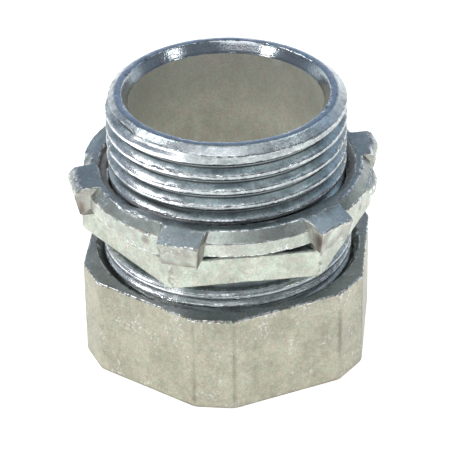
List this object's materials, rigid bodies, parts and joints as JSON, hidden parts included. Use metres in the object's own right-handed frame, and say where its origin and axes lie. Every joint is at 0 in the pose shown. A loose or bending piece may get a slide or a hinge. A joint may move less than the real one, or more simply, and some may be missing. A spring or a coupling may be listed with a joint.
{
  "type": "conduit compression connector",
  "caption": "Hexagonal compression connector that ends a thin-wall conduit in a box wall: threaded hub, lugged locknut, compression nut and gland ring.",
  "frame": {"origin": "on the conduit's axis, in the bottom face of the compression nut", "axes": "+Z along the conduit's axis, from the compression nut towards the threaded hub"},
  "size_m": [0.0442, 0.0436, 0.0385],
  "materials": {
    "body_zinc": "tumbled die-cast zinc, thread crests and throat worn bright",
    "locknut_zinc": "tumbled die-cast zinc, bright worn edges",
    "nut_zinc": "matte die-cast zinc, mottled",
    "ring_steel": "zinc plated steel strip"
  },
  "bodies": {
    "fitting_body": {"connector_body": "body_zinc"},
    "gland_ring": {"gland_ring": "ring_steel"},
    "compression_nut": {"compression_nut": "nut_zinc"},
    "locknut": {"locknut": "locknut_zinc"}
  },
  "joints": [
    {"name": "gland_travel", "type": "slide", "parent": "fitting_body", "child": "gland_ring", "axis": [0, 0, 1], "range_m": [-0.00282, 0.00141]},
    {"name": "nut_turn", "type": "hinge", "parent": "gland_ring", "child": "compression_nut", "pos_m": [0, 0, 0.007], "axis": [0, 0, 1], "range_deg": [-720, 360]},
    {"name": "locknut_turn", "type": "hinge", "parent": "fitting_body", "child": "locknut", "pos_m": [0, 0, 0.0255], "axis": [0, 0, 1], "range_deg": [0, 1800]}
  ],
  "couplings": [
    {"joint": "gland_travel", "follows": "nut_turn", "m_per_rad": 0.00022459}
  ]
}
